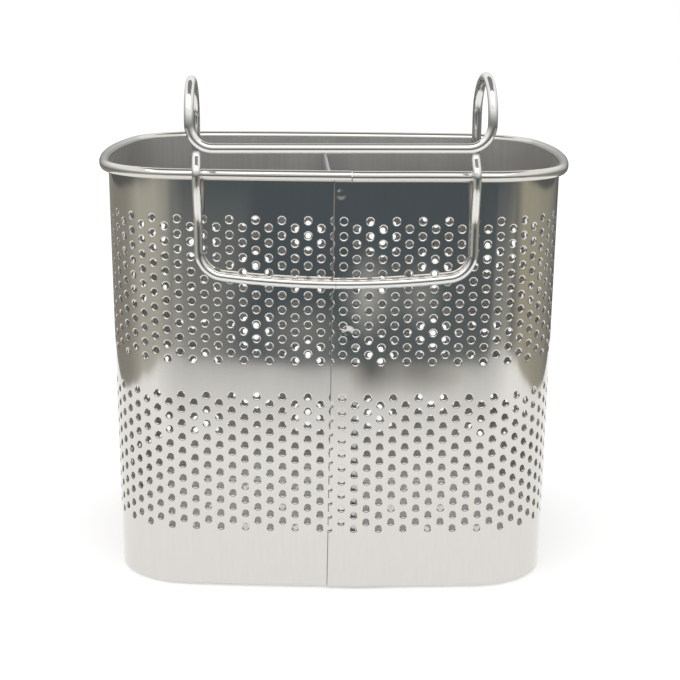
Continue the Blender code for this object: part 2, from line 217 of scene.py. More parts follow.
def tiling_tree():
    """Repeats a tile over columns and rows, every second column set lower by the stagger."""
    tree = bpy.data.node_groups.new("Sheet tiling", "GeometryNodeTree")
    sockets = (
        ("Tile", "NodeSocketGeometry"),
        ("Columns", "NodeSocketInt"),
        ("Rows", "NodeSocketInt"),
        ("First along", "NodeSocketFloat"),
        ("Column spacing", "NodeSocketFloat"),
        ("Top", "NodeSocketFloat"),
        ("Row pitch", "NodeSocketFloat"),
        ("Stagger", "NodeSocketFloat"),
        ("Material", "NodeSocketMaterial"),
    )
    for name, kind in sockets:
        tree.interface.new_socket(name=name, in_out="INPUT", socket_type=kind)
    tree.interface.new_socket(name="Sheet", in_out="OUTPUT", socket_type="NodeSocketGeometry")
    entry = tree.nodes.new("NodeGroupInput").outputs
    leave = tree.nodes.new("NodeGroupOutput").inputs
    index = tree.nodes.new("GeometryNodeInputIndex").outputs[0]

    def maths(operation, first, second=None):
        node = tree.nodes.new("ShaderNodeMath")
        node.operation = operation
        for socket, value in zip(node.inputs, (first, second)):
            if value is None:
                continue
            if isinstance(value, (int, float)):
                socket.default_value = value
            else:
                tree.links.new(value, socket)
        return node.outputs[0]

    column = maths("FLOOR", maths("DIVIDE", maths("ADD", index, 0.5), entry["Rows"]))
    row = maths("SUBTRACT", index, maths("MULTIPLY", column, entry["Rows"]))
    lower = maths("MULTIPLY", maths("SUBTRACT", 1.0, maths("MODULO", column, 2.0)), entry["Stagger"])
    along = maths("ADD", entry["First along"], maths("MULTIPLY", column, entry["Column spacing"]))
    drop = maths("ADD", maths("MULTIPLY", row, entry["Row pitch"]), lower)
    place = tree.nodes.new("ShaderNodeCombineXYZ")
    tree.links.new(along, place.inputs["X"])
    tree.links.new(maths("SUBTRACT", entry["Top"], drop), place.inputs["Z"])
    points = tree.nodes.new("GeometryNodePoints")
    tree.links.new(maths("MULTIPLY", entry["Columns"], entry["Rows"]), points.inputs["Count"])
    tree.links.new(place.outputs[0], points.inputs["Position"])
    spread = tree.nodes.new("GeometryNodeInstanceOnPoints")
    tree.links.new(points.outputs[0], spread.inputs["Points"])
    tree.links.new(entry["Tile"], spread.inputs["Instance"])
    real = tree.nodes.new("GeometryNodeRealizeInstances")
    tree.links.new(spread.outputs[0], real.inputs[0])
    finish = tree.nodes.new("GeometryNodeSetMaterial")
    tree.links.new(real.outputs[0], finish.inputs["Geometry"])
    tree.links.new(entry["Material"], finish.inputs["Material"])
    tree.links.new(finish.outputs[0], leave[0])
    return tree


def run_tree(holder, tree, values):
    """Gives the mesh that a tree makes from an object, and removes the object."""
    modifier = holder.modifiers.new(tree.name, "NODES")
    modifier.node_group = tree
    for item in tree.interface.items_tree:
        if item.item_type == "SOCKET" and item.in_out == "INPUT" and item.name in values:
            modifier[item.identifier] = values[item.name]
    holder.update_tag()
    bpy.context.view_layer.update()
    graph = bpy.context.evaluated_depsgraph_get()
    mesh = bpy.data.meshes.new_from_object(holder.evaluated_get(graph))
    holder.modifiers.clear()
    bpy.data.objects.remove(holder, do_unlink=True)
    return mesh


def bumped(nodes, links, height, depth, strength, below=None):
    """A bump of a given depth over the one below it."""
    bump = nodes.new("ShaderNodeBump")
    bump.inputs["Strength"].default_value = strength
    bump.inputs["Distance"].default_value = depth
    links.new(height, bump.inputs["Height"])
    if below is not None:
        links.new(below, bump.inputs["Normal"])
    return bump.outputs[0]


grain_fineness = 900.0
grain_depth = 0.02 * MM
cloud_fineness = 26.0
cloud_from, cloud_to = 0.3, 0.7
gloss_from, gloss_to = 0.8, 1.25
wave_fineness = 30.0
dent_floor_share = 0.25


def steel(name, colour, roughness, grain, grain_scale, bump, wave=0.0, dents=(), metal=1.0):
    """Bright rolled stainless steel: faint rolling grain, soft waviness and cloudy wear in the gloss."""
    material = bpy.data.materials.new(name)
    material.use_nodes = True
    nodes, links = material.node_tree.nodes, material.node_tree.links
    shader = nodes["Principled BSDF"]
    shader.inputs["Metallic"].default_value = metal
    place = nodes.new("ShaderNodeTexCoord").outputs["Object"]
    stretch = nodes.new("ShaderNodeMapping")
    stretch.inputs["Scale"].default_value = grain_scale
    links.new(place, stretch.inputs["Vector"])
    fine = nodes.new("ShaderNodeTexNoise")
    fine.inputs["Scale"].default_value = grain_fineness
    fine.inputs["Detail"].default_value = 3.0
    links.new(stretch.outputs[0], fine.inputs["Vector"])
    cloud = nodes.new("ShaderNodeTexNoise")
    cloud.inputs["Scale"].default_value = cloud_fineness
    cloud.inputs["Detail"].default_value = 4.0
    links.new(place, cloud.inputs["Vector"])
    rough = nodes.new("ShaderNodeMapRange")
    rough.inputs["From Min"].default_value = cloud_from
    rough.inputs["From Max"].default_value = cloud_to
    rough.inputs["To Min"].default_value = roughness * gloss_from
    rough.inputs["To Max"].default_value = roughness * gloss_to
    links.new(cloud.outputs["Fac"], rough.inputs["Value"])
    links.new(rough.outputs[0], shader.inputs["Roughness"])
    tone = nodes.new("ShaderNodeMix")
    tone.data_type = "RGBA"
    tone.inputs[6].default_value = (*[channel * (1 - grain) for channel in colour], 1.0)
    tone.inputs[7].default_value = (*colour, 1.0)
    links.new(fine.outputs["Fac"], tone.inputs[0])
    links.new(tone.outputs[2], shader.inputs["Base Color"])
    normal = bumped(nodes, links, fine.outputs["Fac"], grain_depth, bump)
    if wave:
        swell = nodes.new("ShaderNodeTexNoise")
        swell.inputs["Scale"].default_value = wave_fineness
        swell.inputs["Detail"].default_value = 1.0
        links.new(place, swell.inputs["Vector"])
        normal = bumped(nodes, links, swell.outputs["Fac"], wave, 1.0, normal)
    for centre, radius, depth in dents:
        apart = nodes.new("ShaderNodeVectorMath")
        apart.operation = "DISTANCE"
        links.new(place, apart.inputs[0])
        apart.inputs[1].default_value = centre
        bowl = nodes.new("ShaderNodeMapRange")
        bowl.interpolation_type = "SMOOTHSTEP"
        bowl.inputs["From Min"].default_value = radius * dent_floor_share
        bowl.inputs["From Max"].default_value = radius
        links.new(apart.outputs["Value"], bowl.inputs["Value"])
        normal = bumped(nodes, links, bowl.outputs[0], depth, 1.0, normal)
    links.new(normal, shader.inputs["Normal"])
    return material


spot_welds = [
    ((2.7 * MM, -58.9 * MM, 139.3 * MM), 2.1 * MM, 0.12 * MM),
    ((5.4 * MM, -58.9 * MM, 92.9 * MM), 2.8 * MM, 0.22 * MM),
    ((5.2 * MM, -58.9 * MM, 15.0 * MM), 2.2 * MM, 0.10 * MM),
    ((0.6 * MM, 58.3 * MM, 78.0 * MM), 2.2 * MM, 0.10 * MM),
]
sheet_steel = steel(
    "bright_sheet_steel",
    colour=(0.735, 0.715, 0.675),
    roughness=0.08,
    grain=0.06,
    grain_scale=(1.0, 1.0, 0.12),
    bump=0.05,
    wave=0.10 * MM,
    dents=spot_welds,
)
inner_steel = steel(
    "inner_sheet_steel",
    colour=(0.68, 0.675, 0.655),
    roughness=0.32,
    grain=0.18,
    grain_scale=(1.0, 1.0, 0.05),
    bump=0.08,
    metal=0.9,
)
edge_steel = steel(
    "sheared_edge_steel",
    colour=(0.55, 0.55, 0.54),
    roughness=0.6,
    grain=0.30,
    grain_scale=(1.0, 1.0, 1.0),
    bump=0.5,
)
wall_finishes = (sheet_steel, inner_steel, edge_steel)
outside, inside, sheared = range(len(wall_finishes))
wall_crease = math.radians(32)


def flat_sheet(material):
    """The whole strip before it is rolled, as one mesh of tiles."""
    tree = tiling_tree()
    columns = int(math.ceil((sheet_length - first_column) / column_spacing)) + 2
    first = first_column - column_spacing
    half_cell = hole_pitch / 2
    band_height = rows_in_band * hole_pitch
    upper_top = first_row_height + half_cell
    lower_top = upper_top - band_drop
    upper_low = upper_top - band_height - half_cell
    lower_low = lower_top - band_height - half_cell
    notch_low = bead_height - bead_radius - seat_gap
    roll_length = bead_middle * roll_angle
    pieces = []

    def lay(tile, top, rows=1, pitch=0.0, start=first, count=columns, spacing=column_spacing, stagger=0.0):
        values = {
            "Columns": count,
            "Rows": rows,
            "First along": start,
            "Column spacing": spacing,
            "Top": top,
            "Row pitch": pitch,
            "Stagger": stagger,
            "Material": material,
        }
        pieces.append(run_tree(tile, tree, values))

    # The hook side's holes, at both ends of the strip, have rounder rims than the rear ones.
    near = 2 * int(columns / 8)
    spans = (
        (0, near, round_sides, round_rim),
        (near, columns - 2 * near, plain_sides, plain_rim),
        (columns - near, near, round_sides, round_rim),
    )
    for top in (first_row_height, first_row_height - band_drop):
        for skipped, count, sides, rim in spans:
            begin = first + skipped * column_spacing
            lowered = skipped % 2
            stagger = half_cell * (1 - 2 * lowered)
            tile = punched_tile(sides, rim)
            lay(tile, top - half_cell * lowered, rows_in_band, hole_pitch, begin, count, stagger=stagger)
    second = first + column_spacing
    odd = dict(start=first, count=(columns + 1) // 2, spacing=2 * column_spacing)
    even = dict(start=second, count=columns // 2, spacing=2 * column_spacing)
    lay(plain_tile("filler", half_cell), upper_top - half_cell / 2, **odd)
    lay(plain_tile("filler", half_cell), upper_low + half_cell / 2, **even)
    lay(plain_tile("filler", half_cell), lower_top - half_cell / 2, **odd)
    lay(plain_tile("filler", half_cell), lower_low + half_cell / 2, **even)

    def strip(low, high, rows, **closed):
        height = (high - low) / rows
        lay(plain_tile("margin", height, **closed), high - height / 2, rows, height)

    strip(upper_top, notch_low, collar_steps)
    strip(notch_low, bead_height, 1)
    roll_end = bead_height + roll_length
    last_roll = roll_end - roll_length / roll_steps
    strip(bead_height, last_roll, roll_steps - 1)
    strip(last_roll, roll_end, 1, high_closed=True)
    strip(lower_top, upper_low, belt_steps)
    first_foot = wall_low + (lower_low - wall_low) / foot_steps
    strip(first_foot, lower_low, foot_steps - 1)
    strip(wall_low, first_foot, 1, low_closed=True)
    shape = bmesh.new()
    for piece in pieces:
        shape.from_mesh(piece)
        bpy.data.meshes.remove(piece)
    bmesh.ops.remove_doubles(shape, verts=shape.verts, dist=weld_distance)
    return shape, notch_low


def trim_ends(shape, notch_low):
    """Cuts the two ends of the strip, and the bead off the end that laps outside."""

    def part_at(place, normal, faces, clear):
        # A dict keeps its order, and a set of mesh parts would not be the same at each run.
        edges = dict.fromkeys(edge for face in faces for edge in face.edges)
        verts = dict.fromkeys(vert for face in faces for vert in face.verts)
        bmesh.ops.bisect_plane(
            shape,
            geom=[*faces, *edges, *verts],
            plane_co=place,
            plane_no=normal,
            dist=cut_distance,
            clear_outer=clear,
        )

    part_at((seam_bottom, 0, 0), (-1, 0, seam_slant), shape.faces[:], True)
    part_at((sheet_length, 0, 0), (1, 0, 0), shape.faces[:], True)
    notch_end = lap_width + seat_gap
    margin = cut_margin
    above = [face for face in shape.faces if min(vert.co.z for vert in face.verts) > notch_low - margin]
    above = [face for face in above if min(vert.co.x for vert in face.verts) < notch_end]
    part_at((notch_end, 0, 0), (1, 0, 0), above, False)
    lost = []
    for face in shape.faces:
        over = min(vert.co.z for vert in face.verts) > notch_low - margin
        if over and max(vert.co.x for vert in face.verts) < notch_end + margin:
            lost.append(face)
    bmesh.ops.delete(shape, geom=lost, context="FACES")
    open_edges = [edge for edge in shape.edges if len(edge.link_faces) == 1]
    open_verts = dict.fromkeys(vert for edge in open_edges for vert in edge.verts)
    upright = [v for v in open_verts if abs(v.co.x - notch_end) < margin and v.co.z > notch_low - margin]
    level = [v for v in open_verts if abs(v.co.z - notch_low) < margin and v.co.x < notch_end + margin]
    for group, key in ((upright, lambda v: v.co.z), (level, lambda v: v.co.x)):
        front = sorted([v for v in group if v.co.y < sheet_thickness / 2], key=key)
        back = sorted([v for v in group if v.co.y > sheet_thickness / 2], key=key, reverse=True)
        shape.faces.new(front + back)
    rims = [edge for edge in shape.edges if len(edge.link_faces) == 1]
    bmesh.ops.holes_fill(shape, edges=rims, sides=0)


def finish_faces(shape):
    """Slants the outer lap's sheared end, parts the finishes, and tags the edges of hole rims."""
    for vert in shape.verts:
        end = seam_bottom + seam_slant * vert.co.z
        if vert.co.y > sheet_thickness - face_margin and abs(vert.co.x - end) < face_margin:
            vert.co.x -= shear_run
    for face in shape.faces:
        shallowest = min(vert.co.y for vert in face.verts)
        highest = max(vert.co.z for vert in face.verts)
        past_end = max(vert.co.x - seam_bottom - seam_slant * vert.co.z for vert in face.verts)
        face.material_index = outside
        if shallowest > sheet_thickness - face_margin and highest < bead_height + face_margin:
            face.material_index = inside
        elif past_end < face_margin:
            face.material_index = sheared
    for edge in shape.edges:
        depths = [max(vert.co.y for vert in face.verts) for face in edge.link_faces]
        edge.tag = bool(depths) and min(depths) < face_margin < max(depths)


def rolled_place(along, depth, height):
    """Where points of the flat strip lie once it is bent round the basket."""
    point, normal = plan_at(along + seam_offset)
    turned = np.maximum(height - bead_height, 0) / bead_middle
    rolled = height > bead_height
    spoke = bead_bore + depth
    offset = np.where(rolled, bead_bore - spoke * np.cos(turned), -depth)
    z = np.where(rolled, bead_height + spoke * np.sin(turned), height)
    share = np.clip((along - joggle_start) / joggle_run, 0, 1)
    offset = offset + lap_step * (1 - share * share * (3 - 2 * share))
    return np.column_stack([point + normal * offset[:, None], z])


slope_step = 0.02 * MM


def true_normals(mesh, flat):
    """Gives both faces of the sheet the exact normals of its bend, and leaves cut edges alone."""
    along, depth, height = flat.T
    step = slope_step
    ahead = rolled_place(along + step, depth, height) - rolled_place(along - step, depth, height)
    rise = rolled_place(along, depth, height + step) - rolled_place(along, depth, height - step)
    outward = np.cross(ahead, rise)
    outward /= np.linalg.norm(outward, axis=1)[:, None]
    corners = np.zeros(len(mesh.loops), int)
    mesh.loops.foreach_get("vertex_index", corners)
    starts = np.zeros(len(mesh.polygons), int)
    mesh.polygons.foreach_get("loop_start", starts)
    sizes = np.diff(np.append(starts, len(corners)))
    near = np.minimum.reduceat(depth[corners], starts)
    far = np.maximum.reduceat(depth[corners], starts)
    inner_side = np.where(near > sheet_thickness - face_margin, -1.0, 0.0)
    side = np.where(far < face_margin, 1.0, inner_side)
    normals = outward[corners] * np.repeat(side, sizes)[:, None]
    mesh.normals_split_custom_set(normals.tolist())


sheet, sheet_notch = flat_sheet(sheet_steel)
trim_ends(sheet, sheet_notch)
finish_faces(sheet)
flat_points = np.array([vert.co[:] for vert in sheet.verts])
for vert, place in zip(sheet.verts, rolled_place(*flat_points.T)):
    vert.co = place
bmesh.ops.recalc_face_normals(sheet, faces=sheet.faces)
for edge in sheet.edges:
    edge.smooth = not edge.tag and edge.calc_face_angle(0.0) < wall_crease
wall_mesh = bpy.data.meshes.new("basket_wall")
sheet.to_mesh(wall_mesh)
sheet.free()
for finish in wall_finishes:
    wall_mesh.materials.append(finish)
wall_mesh.shade_smooth()
true_normals(wall_mesh, flat_points)
wall = bpy.data.objects.new("basket_wall", wall_mesh)
bpy.context.scene.collection.objects.link(wall)
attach(wall, "root")
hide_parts("perforated_wall")


# Bottom pan. A plate of the same sheet with its edge turned up inside the wall, spot welded to it,
# and drain holes punched through. Its rounded lower edge shows as a thin band under the wall.

pan_flange_height = 8.0 * MM
pan_edge_radius = 1.6 * MM
pan_edge_steps = 6
pan_columns = 180
drain_radius = 4.0 * MM
drain_spacing = 23.0 * MM
drain_edge_margin = 9.0 * MM
drain_sides = 32
folded_crease = math.radians(35)


def drain_places():
    """Middles of the drain holes, in rows set half a step apart."""
    places = []
    row_reach = int((half_depth - drain_edge_margin) / drain_spacing)
    for row in range(-row_reach, row_reach + 1):
        first = drain_spacing * (0.5 if row % 2 == 0 else 1.0)
        narrowing = corner_radius * abs(row) / (row_reach + 1)
        count = int((half_width - drain_edge_margin - narrowing - first) / drain_spacing) + 1
        for side in (-1, 1):
            outs = [side * (first + number * drain_spacing) for number in range(count)]
            places += [(x, row * drain_spacing) for x in outs]
    return places


def drain_rim(x, y):
    """Points round a drain hole."""
    turns = [2 * math.pi * side / drain_sides for side in range(drain_sides)]
    return [(x + drain_radius * math.cos(turn), y + drain_radius * math.sin(turn)) for turn in turns]


def thick_sheet(name, shape, offset):
    """The mesh of a folded surface once it has the sheet's thickness, to one side or about its middle."""
    mesh = bpy.data.meshes.new(name)
    shape.to_mesh(mesh)
    shape.free()
    holder = bpy.data.objects.new(name, mesh)
    bpy.context.scene.collection.objects.link(holder)
    thicken = holder.modifiers.new("Sheet", "SOLIDIFY")
    thicken.thickness = sheet_thickness
    thicken.offset = offset
    thicken.use_even_offset = True
    bpy.context.view_layer.update()
    graph = bpy.context.evaluated_depsgraph_get()
    thick = bpy.data.meshes.new_from_object(holder.evaluated_get(graph))
    holder.modifiers.clear()
    bpy.data.objects.remove(holder, do_unlink=True)
    return thick


def finished_piece(name, mesh, material, crease):
    """A piece of the basket from its mesh, in one material, smooth but for its creases."""
    mesh.name = name
    mesh.materials.clear()
    mesh.materials.append(material)
    mesh.shade_smooth()
    mesh.set_sharp_from_angle(angle=crease)
    made = bpy.data.objects.new(name, mesh)
    bpy.context.scene.collection.objects.link(made)
    return made


def make_pan(material):
    """The plate with its round holes, a rounded edge and an upright flange, given its thickness."""
    points, normals = plan_at(np.arange(pan_columns) * perimeter / pan_columns)
    shape = bmesh.new()

    def flange_ring(inset, z):
        inner = points - normals * (sheet_thickness + seat_gap + inset)
        return [shape.verts.new((x, y, z)) for x, y in inner]

    def closed(verts):
        return [shape.edges.new((a, b)) for a, b in zip(verts, verts[1:] + verts[:1])]

    rings = []
    for step in range(pan_edge_steps + 1):
        turn = math.pi / 2 * step / pan_edge_steps
        inset = pan_edge_radius * (1 - math.sin(turn))
        rings.append(flange_ring(inset, pan_edge_radius * (1 - math.cos(turn))))
    rings.append(flange_ring(0, pan_flange_height))
    rims = closed(rings[0])
    for place in drain_places():
        rims += closed([shape.verts.new((x, y, 0)) for x, y in drain_rim(*place)])
    bmesh.ops.triangle_fill(shape, edges=rims, use_beauty=True)
    for low, high in zip(rings, rings[1:]):
        for n in range(pan_columns):
            after = (n + 1) % pan_columns
            shape.faces.new((low[n], low[after], high[after], high[n]))
    bmesh.ops.recalc_face_normals(shape, faces=shape.faces)
    flange_face = rings[-1][0].link_faces[0]
    if flange_face.normal.dot(Vector((*normals[0], 0))) < 0:
        bmesh.ops.reverse_faces(shape, faces=shape.faces)
    mesh = thick_sheet("pan_sheet", shape, -1.0)
    return finished_piece("drain_pan", mesh, material, folded_crease)


pan_steel = steel(
    "pan_steel",
    colour=(0.88, 0.875, 0.86),
    roughness=0.40,
    grain=0.10,
    grain_scale=(0.12, 1.0, 1.0),
    bump=0.12,
    metal=0.35,
)
drain_pan = make_pan(pan_steel)
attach(drain_pan, "root")
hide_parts("bottom_pan")


# Divider. A plate across the middle of the basket, folded from the same sheet: a flange bent over
# at each long wall and spot welded to it, the lower corners notched over the pan's edge, and the
# top edge folded down on itself into a smooth hem.

divider_low = sheet_thickness + seat_gap
divider_top = 138.5 * MM
divider_front_x = 0.6 * MM
divider_rear_x = -4.2 * MM
divider_flange = 8.0 * MM
divider_bend = 0.6 * MM
hem_thickness = 1.3 * MM
hem_height = 4.5 * MM
hem_steps = 10
notch_height = 8.3 * MM
notch_run = 2.4 * MM
bend_step = math.radians(5)


def filleted(corners, radii):
    """Points of a route through corners, each rounded to its own radius."""
    route = [corners[0]]
    for before, corner, after, radius in zip(corners, corners[1:], corners[2:], radii):
        back = (before - corner).normalized()
        ahead = (after - corner).normalized()
        opening = back.angle(ahead)
        turn = math.pi - opening
        run = radius * math.tan(turn / 2)
        centre = corner + (back + ahead).normalized() * (radius / math.sin(opening / 2))
        start = corner + back * run - centre
        end = corner + ahead * run - centre
        steps = max(int(math.ceil(turn / bend_step)), 1)
        for step in range(steps + 1):
            share = step / steps
            spoke = start * math.sin((1 - share) * turn) + end * math.sin(share * turn)
            route.append(centre + spoke / math.sin(turn))
    route.append(corners[-1])
    return route


def make_divider(material):
    """The folded plate as a surface given its thickness, with the hem folded over its top."""
    face = half_depth - sheet_thickness - seat_gap - sheet_thickness / 2
    corners = [
        Vector((divider_front_x + divider_flange, -face, 0)),
        Vector((divider_front_x, -face, 0)),
        Vector((divider_rear_x, face, 0)),
        Vector((divider_rear_x + divider_flange, face, 0)),
    ]
    route = filleted(corners, [divider_bend, divider_bend])
    share = (face - notch_run) / face
    middle = (corners[1] + corners[2]) / 2
    cuts = [middle + (corners[1] - middle) * share, middle + (corners[2] - middle) * share]
    bend_end = max(index for index, point in enumerate(route) if point.y < 0)
    route = route[:bend_end + 1] + cuts + route[bend_end + 1:]
    shape = bmesh.new()
    levels = (divider_low, notch_height, divider_top)
    columns = [[shape.verts.new((point.x, point.y, z)) for z in levels] for point in route]
    for number, (before, after) in enumerate(zip(columns, columns[1:])):
        low_row = 0 if number == bend_end + 1 else 1
        for row in range(low_row, len(levels) - 1):
            shape.faces.new((before[row], after[row], after[row + 1], before[row + 1]))
    loose = [vert for vert in shape.verts if not vert.link_faces]
    bmesh.ops.delete(shape, geom=loose, context="VERTS")
    mesh = thick_sheet("divider_sheet", shape, 0.0)
    shape = bmesh.new()
    shape.from_mesh(mesh)
    half = hem_thickness / 2
    turns = [math.pi * step / hem_steps for step in range(hem_steps + 1)]
    outline = [(-half, -hem_height), (half, -hem_height)]
    outline += [(half * math.cos(turn), half * math.sin(turn)) for turn in turns]
    along = (corners[2] - corners[1]).normalized()
    across = Vector((along.y, -along.x, 0))
    reach = share * (corners[2] - corners[1]).length / 2
    rings = []
    for end in (-reach, reach):
        place = middle + along * end + Vector((0, 0, divider_top))
        rings.append([shape.verts.new(place + across * x + Vector((0, 0, z))) for x, z in outline])
    count = len(outline)
    for n in range(count):
        after = (n + 1) % count
        shape.faces.new((rings[0][n], rings[0][after], rings[1][after], rings[1][n]))
    shape.faces.new(rings[0])
    shape.faces.new(rings[1])
    bmesh.ops.recalc_face_normals(shape, faces=shape.faces)
    shape.to_mesh(mesh)
    shape.free()
    return finished_piece("divider_plate", mesh, material, folded_crease)


divider_steel = steel(
    "divider_steel",
    colour=(0.70, 0.695, 0.68),
    roughness=0.28,
    grain=0.14,
    grain_scale=(1.0, 1.0, 0.05),
    bump=0.08,
    metal=0.9,
)
divider_plate = make_divider(divider_steel)
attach(divider_plate, "root")
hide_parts("divider")


# Hook wire. One length of 3 mm polished stainless wire bent into a stirrup, two half-round hooks
# and a front bar. Its ends butt at the middle of the stirrup, and it is welded to the wall.

wire_radius = 1.5 * MM
frame_shift = 1.2 * MM
stirrup_half_width = 45.3 * MM
stirrup_corner_radius = 8.5 * MM
stirrup_low = 109.9 * MM
stirrup_sag = 1.8 * MM
jog_start = 131.0 * MM
jog_end = 142.0 * MM
jog_bend_radius = 20.0 * MM
bead_slope = math.radians(45)
rear_half_widths = {1: 44.9 * MM, -1: 45.6 * MM}
rear_branch_stand_off = 0.4 * MM
rear_bend_radius = 4.0 * MM
hook_reach = 24.5 * MM
hook_top = 178.0 * MM
hook_top_lean = 0.9 * MM
front_half_widths = {1: 46.8 * MM, -1: 46.0 * MM}
front_corner_radius = 7.2 * MM
front_bar_shift = 0.8 * MM
front_bar_drop = 0.5 * MM
front_bar_lean = 0.4 * MM
stirrup_bar_steps = 14
butt_gap = 0.12 * MM
shortest_step = wire_radius / 6
wire_ring_steps = 5
wire_crease = math.radians(40)


def wall_y(x):
    """Outer face of the hook side at x."""
    return long_side_radius - half_depth - math.sqrt(long_side_radius ** 2 - x ** 2)


def wire_half(side):
    """Half the loop's route, from the middle of the stirrup's bar to the middle of the front bar."""
    bar_end = stirrup_half_width - stirrup_corner_radius
    bar = []
    for step in range(stirrup_bar_steps):
        out = bar_end * step / stirrup_bar_steps
        x = frame_shift + side * out
        stand_off = lap_step * (1 - (out / stirrup_half_width) ** 2)
        y = wall_y(x) - stand_off - seat_gap - wire_radius
        bar.append(Vector((x, y, stirrup_low + stirrup_sag * (out / bar_end) ** 2)))
    x = frame_shift + side * stirrup_half_width
    upright_y = wall_y(x) - seat_gap - wire_radius
    corner_z = stirrup_low + stirrup_sag * (stirrup_half_width / bar_end) ** 2
    round_bead = bead_radius + seat_gap + wire_radius
    outer_y = wall_y(x) - bead_bore - round_bead
    x_rear = frame_shift + side * rear_half_widths[side]
    rear_y = wall_y(x_rear) - rear_branch_stand_off
    over_bead = bead_height + round_bead * math.tan(bead_slope / 2)
    back_at_wall = over_bead + (rear_y - outer_y) / math.tan(bead_slope)
    top = hook_top + side * hook_top_lean - wire_radius
    x_front = frame_shift + front_bar_shift + side * front_half_widths[side]
    front_y = wall_y(stirrup_half_width) - rear_branch_stand_off - hook_reach
    bar_z = hook_top - wire_radius - hook_reach / 2 - front_corner_radius - front_bar_drop
    corners = [
        bar[-1],
        Vector((x, upright_y, corner_z)),
        Vector((x, upright_y, jog_start)),
        Vector((x, outer_y, jog_end)),
        Vector((x, outer_y, over_bead)),
        Vector((x_rear, rear_y, back_at_wall)),
        Vector((x_rear, rear_y, top)),
        Vector((x_front, front_y, top)),
        Vector((x_front, front_y, bar_z + side * front_bar_lean)),
        Vector((frame_shift + front_bar_shift, front_y, bar_z)),
    ]
    arch_radius = (Vector((x_front, front_y)) - Vector((x_rear, rear_y))).length / 2
    radii = [
        stirrup_corner_radius,
        jog_bend_radius,
        jog_bend_radius,
        round_bead,
        rear_bend_radius,
        arch_radius,
        arch_radius,
        front_corner_radius,
    ]
    return bar[:-1] + filleted(corners, radii)


def make_wire(material):
    """The loop as an open tube whose two ends meet at the butt joint."""
    route = wire_half(1) + list(reversed(wire_half(-1)))[1:]
    clean = [route[0]]
    for point in route[1:]:
        if (point - clean[-1]).length > shortest_step:
            clean.append(point)
    clean[0] = route[0] + Vector((butt_gap / 2, 0, 0))
    clean[-1] = route[-1] - Vector((butt_gap / 2, 0, 0))
    curve = bpy.data.curves.new("hook_frame", "CURVE")
    curve.dimensions = "3D"
    curve.bevel_depth = wire_radius
    curve.bevel_resolution = wire_ring_steps
    curve.use_fill_caps = True
    spline = curve.splines.new("POLY")
    spline.points.add(len(clean) - 1)
    for point, place in zip(spline.points, clean):
        point.co = (place.x, place.y, place.z, 1)
    holder = bpy.data.objects.new("hook_frame_route", curve)
    bpy.context.scene.collection.objects.link(holder)
    bpy.context.view_layer.update()
    graph = bpy.context.evaluated_depsgraph_get()
    mesh = bpy.data.meshes.new_from_object(holder.evaluated_get(graph))
    bpy.data.objects.remove(holder, do_unlink=True)
    shape = bmesh.new()
    shape.from_mesh(mesh)
    bmesh.ops.remove_doubles(shape, verts=shape.verts, dist=weld_distance)
    bmesh.ops.recalc_face_normals(shape, faces=shape.faces)
    shape.to_mesh(mesh)
    shape.free()
    return finished_piece("hook_frame", mesh, material, wire_crease)


wire_steel = steel(
    "polished_wire_steel",
    colour=(0.82, 0.81, 0.785),
    roughness=0.09,
    grain=0.05,
    grain_scale=(1.0, 1.0, 1.0),
    bump=0.05,
)
hook_frame = make_wire(wire_steel)
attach(hook_frame, "root")
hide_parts("hook_wire")


# Studio. A white paper floor with a painted shadow behind the basket, one large soft box above and in
# front, and a tent of glowing boards and small cards that only the polished steel mirrors, painted
# reflections: slate in front, pale and tan at the ends, umber behind, and a grey ceiling. Places here
# are in millimetres.


def backdrop(name, points, faces, material):
    """A sheet or a row of sheets of the studio."""
    mesh = bpy.data.meshes.new(name)
    mesh.from_pydata([[value * MM for value in point] for point in points], [], faces)
    mesh.materials.append(material)
    made = bpy.data.objects.new(name, mesh)
    bpy.context.scene.collection.objects.link(made)
    return made


seen_rays = ("Is Camera Ray", "Is Transmission Ray")
mirrored_rays = ("Is Glossy Ray",)


def ray_share(tree, rays, share):
    """The share for rays of these kinds, and 0 for all others."""
    path = tree.nodes.new("ShaderNodeLightPath")
    total = path.outputs[rays[0]]
    for ray in rays[1:]:
        larger = tree.nodes.new("ShaderNodeMath")
        larger.operation = "MAXIMUM"
        tree.links.new(total, larger.inputs[0])
        tree.links.new(path.outputs[ray], larger.inputs[1])
        total = larger.outputs[0]
    scaled = tree.nodes.new("ShaderNodeMath")
    scaled.operation = "MULTIPLY"
    scaled.inputs[1].default_value = share
    tree.links.new(total, scaled.inputs[0])
    return scaled.outputs[0]


def blended(tree, below, above, share):
    """One shader over another by a share."""
    blend = tree.nodes.new("ShaderNodeMixShader")
    tree.links.new(share, blend.inputs[0])
    tree.links.new(below, blend.inputs[1])
    tree.links.new(above, blend.inputs[2])
    return blend.outputs[0]


paper_seen_share = 0.3
paper_mirrored_share = 0.85
paper_glow = 1.12
# Painted dimming: in the steel's reflection the floor paper glows less far out in front.
mirrored_far_y = -385 * MM
mirrored_near_y = -213 * MM
painted_reflection_far_tone = 0.46
# Painted shadow on the floor: a soft darker oval of paper behind the basket.
painted_shadow_middle_y = 95 * MM
painted_shadow_half_width = 74 * MM
painted_shadow_half_depth = 100 * MM
painted_shadow_tone = 0.68


